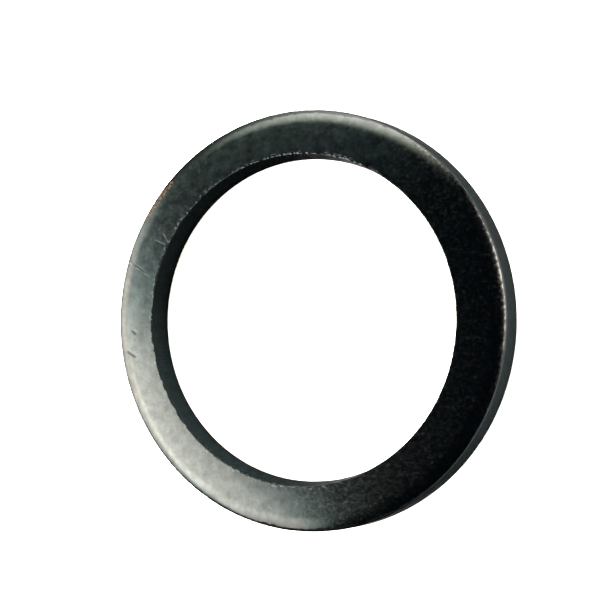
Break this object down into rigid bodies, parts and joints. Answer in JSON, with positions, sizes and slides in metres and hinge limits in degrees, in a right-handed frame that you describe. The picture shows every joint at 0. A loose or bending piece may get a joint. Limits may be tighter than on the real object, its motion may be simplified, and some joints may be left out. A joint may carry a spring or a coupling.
{
  "type": "washer",
  "caption": "Flat ring washer of blackened steel, with a plain round bore and a front face that turns down to its rim.",
  "frame": {"origin": "centre of the back face, on the axis of the bore", "axes": "+Z along the bore, from the back face to the front face whose outer edge turns down"},
  "size_m": [0.026, 0.026, 0.002],
  "materials": {
    "blackened_steel": "satin black oxide with fine scratches, worn brighter along the edges"
  },
  "bodies": {
    "root": {"washer": "blackened_steel"}
  },
  "joints": []
}
